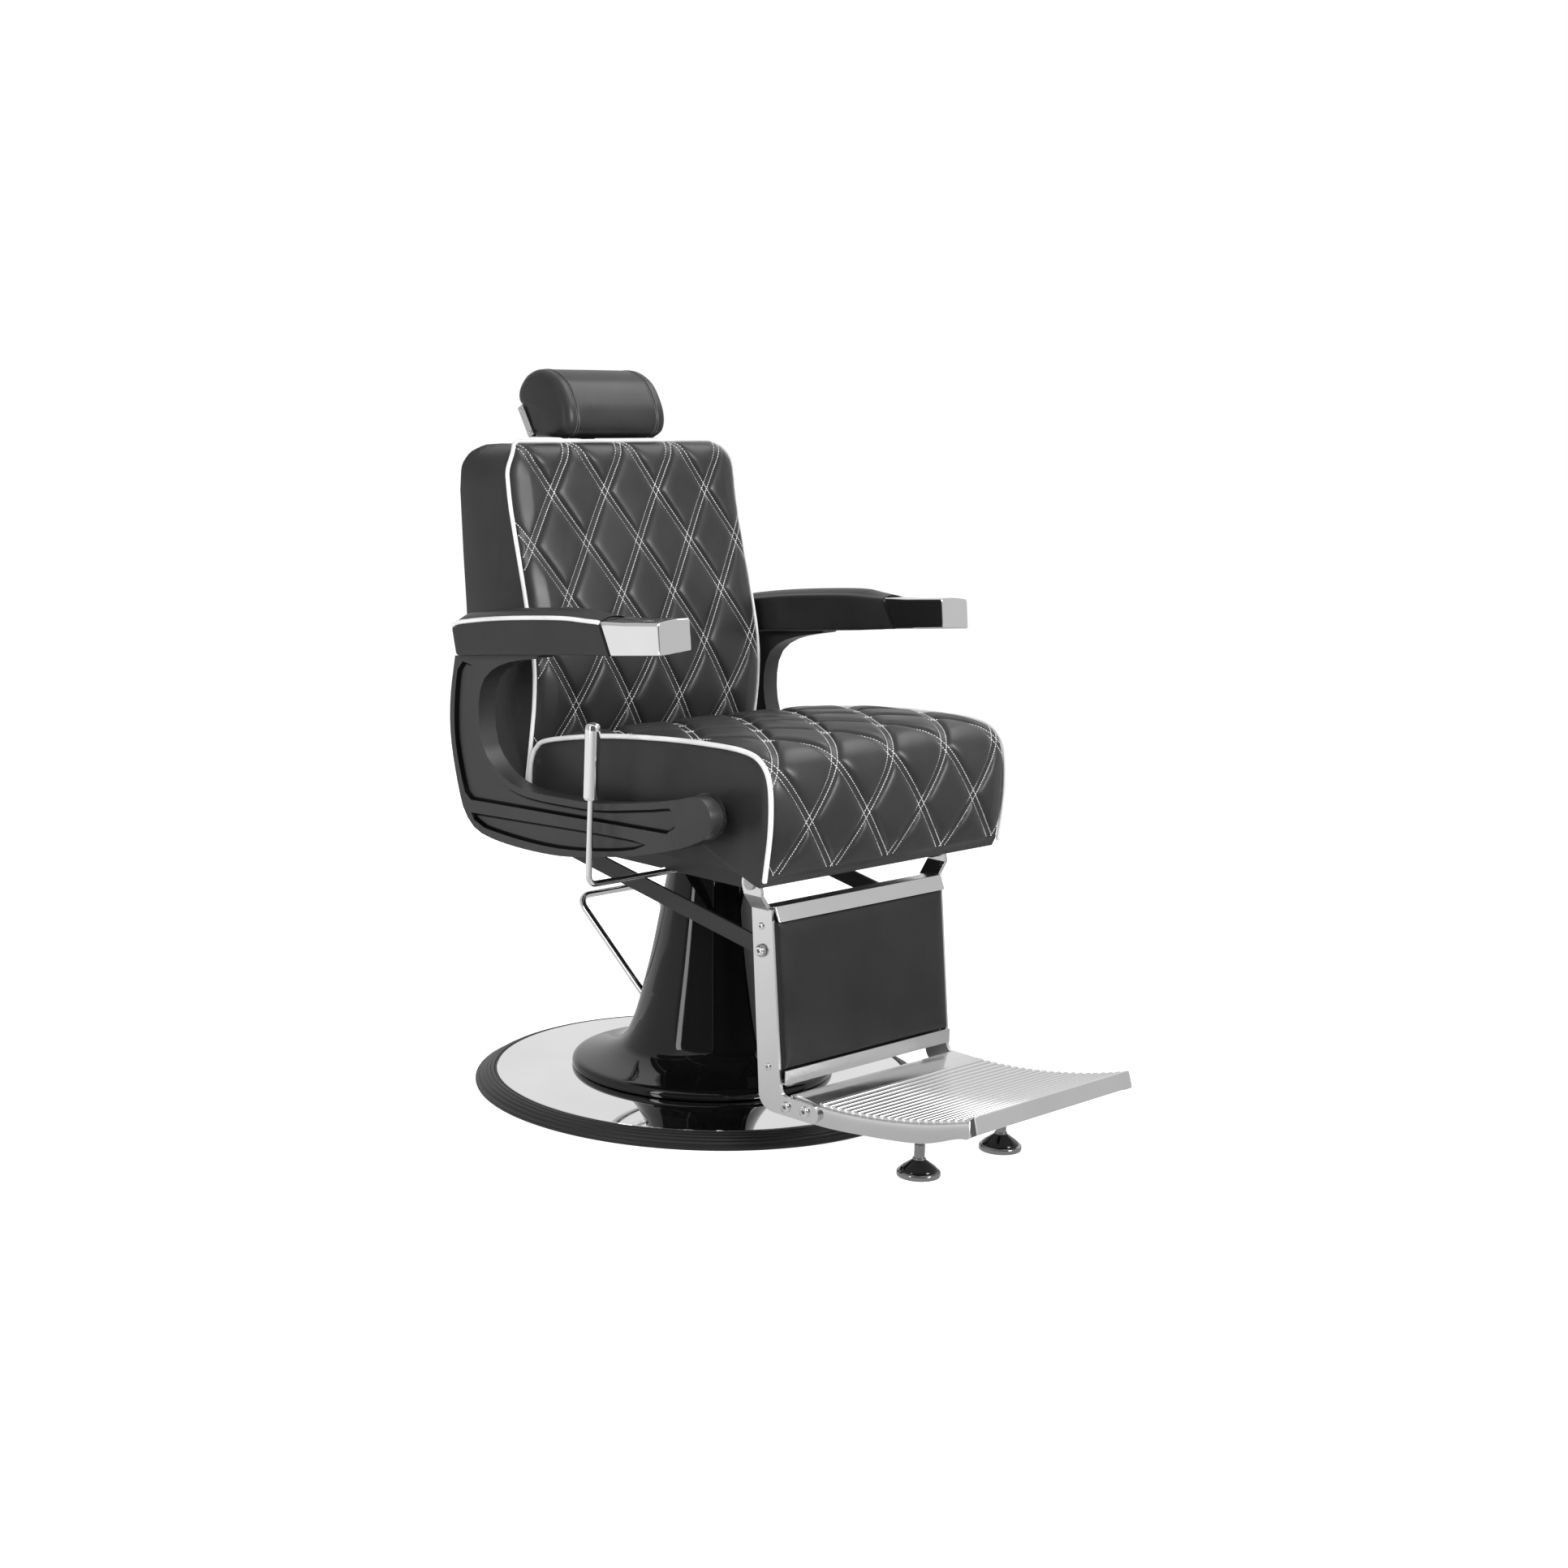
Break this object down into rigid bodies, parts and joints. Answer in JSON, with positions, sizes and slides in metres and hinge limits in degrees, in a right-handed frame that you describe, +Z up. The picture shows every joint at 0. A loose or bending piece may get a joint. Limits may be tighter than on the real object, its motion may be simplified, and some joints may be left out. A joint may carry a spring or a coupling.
{
  "type": "hydraulic barber chair",
  "caption": "Hydraulic barber chair: quilted black cushions, reclining back with coupled legrest and footplate, sliding headrest, cast arms, round base with lift pedal.",
  "frame": {"origin": "on the floor, on the axis of the column, at the middle of the base's flat underside", "axes": "+Z up along the column; the sitter faces -Y; the sitter's right hand is on -X"},
  "size_m": [0.705, 1.035, 1.0817],
  "materials": {
    "cast_iron": "matte",
    "chrome": "polished",
    "black_rubber": "matte",
    "black_gloss": "gloss",
    "steel": "satin",
    "black_frame": "satin",
    "black_casting": "satin",
    "black_vinyl": "satin",
    "satin_aluminium": "satin",
    "plywood": "matte"
  },
  "bodies": {
    "base": {"base_disc": "cast_iron", "base_cover": "chrome", "base_ring": "black_rubber", "column_shroud": "black_gloss", "pump_cylinder": "steel", "pump_collar": "chrome", "pump_bracket": "cast_iron", "pedal_shaft": "steel"},
    "pedal": {"foot_pedal": "chrome"},
    "ram": {"piston_ram": "chrome"},
    "seat": {"swivel_hub": "steel", "seat_mount": "cast_iron", "cross_bar_front": "black_frame", "cross_bar_rear": "black_frame", "side_rail_left": "black_frame", "side_rail_right": "black_frame", "seat_board": "plywood", "seat_cushion": "black_vinyl", "arm_outrigger_left": "black_frame", "arm_outrigger_right": "black_frame", "leg_pivot_pin_left": "steel", "leg_pivot_pin_right": "steel", "back_pivot_pin_left": "steel", "back_pivot_pin_right": "steel", "arm_casting_left": "black_casting", "arm_casting_right": "black_casting", "arm_plate_left": "steel", "arm_plate_right": "steel", "arm_pad_left": "black_vinyl", "arm_pad_right": "black_vinyl", "arm_cap_left": "chrome", "arm_cap_right": "chrome", "lever_bracket": "steel"},
    "lever": {"hand_lever": "chrome", "lever_grip": "black_rubber"},
    "back": {"back_lever_left": "steel", "back_lever_right": "steel", "back_cross_tube": "steel", "link_rear_pin_left": "steel", "link_rear_pin_right": "steel", "back_cushion": "black_vinyl", "back_panel": "black_vinyl", "headrest_socket": "steel"},
    "post": {"headrest_post": "chrome"},
    "headrest": {"headrest_bracket": "steel", "headrest_cushion": "black_vinyl"},
    "legrest": {"strut_left": "satin_aluminium", "strut_right": "satin_aluminium", "link_front_pin_left": "steel", "link_front_pin_right": "steel", "calf_pad": "black_vinyl", "calf_board": "plywood", "calf_trim_top": "satin_aluminium", "calf_trim_bottom": "satin_aluminium", "footplate": "satin_aluminium"},
    "link_left": {"recline_link_left": "black_frame"},
    "link_right": {"recline_link_right": "black_frame"},
    "foot_left": {"levelling_foot_left": "black_rubber"},
    "foot_right": {"levelling_foot_right": "black_rubber"}
  },
  "joints": [
    {"name": "lift", "type": "slide", "parent": "base", "child": "ram", "axis": [0, 0, 1], "range_m": [0, 0.15]},
    {"name": "swivel", "type": "hinge", "parent": "ram", "child": "seat", "pos_m": [0, 0, 0.36], "axis": [0, 0, 1], "continuous": true},
    {"name": "recline", "type": "hinge", "parent": "seat", "child": "back", "pos_m": [0, 0.164, 0.452], "axis": [-1, 0, 0], "range_deg": [0, 35]},
    {"name": "headrest_height", "type": "slide", "parent": "back", "child": "post", "axis": [0, 0, 1], "range_m": [0, 0.08]},
    {"name": "headrest_tilt", "type": "hinge", "parent": "post", "child": "headrest", "pos_m": [0, 0.302, 1.004], "axis": [-1, 0, 0], "range_deg": [0, 30]},
    {"name": "legrest_swing", "type": "hinge", "parent": "seat", "child": "legrest", "pos_m": [0, -0.28, 0.392], "axis": [-1, 0, 0], "range_deg": [0, 24.3]},
    {"name": "link_hinge_left", "type": "hinge", "parent": "legrest", "child": "link_left", "pos_m": [0.1785, -0.2917, 0.2944], "axis": [-1, 0, 0], "range_deg": [-25, 0]},
    {"name": "link_hinge_right", "type": "hinge", "parent": "legrest", "child": "link_right", "pos_m": [-0.1785, -0.2917, 0.2944], "axis": [-1, 0, 0], "range_deg": [-25, 0]},
    {"name": "levelling_left", "type": "slide", "parent": "legrest", "child": "foot_left", "axis": [0, 0, 1], "range_m": [0, 0.014]},
    {"name": "levelling_right", "type": "slide", "parent": "legrest", "child": "foot_right", "axis": [0, 0, 1], "range_m": [0, 0.014]},
    {"name": "hand_lever_pull", "type": "hinge", "parent": "seat", "child": "lever", "pos_m": [-0.2, -0.097, 0.375], "axis": [-1, 0, 0], "range_deg": [0, 25], "stiffness_Nm_per_rad": 3, "springref_deg": -8.59},
    {"name": "pedal_press", "type": "hinge", "parent": "base", "child": "pedal", "pos_m": [0, 0.06, 0.108], "axis": [-1, 0, 0], "range_deg": [0, 15], "stiffness_Nm_per_rad": 5, "springref_deg": -14.32}
  ],
  "couplings": [
    {"joint": "legrest_swing", "follows": "recline", "ratio": 0.694},
    {"joint": "link_hinge_left", "follows": "recline", "ratio": -0.712},
    {"joint": "link_hinge_right", "follows": "recline", "ratio": -0.712}
  ]
}
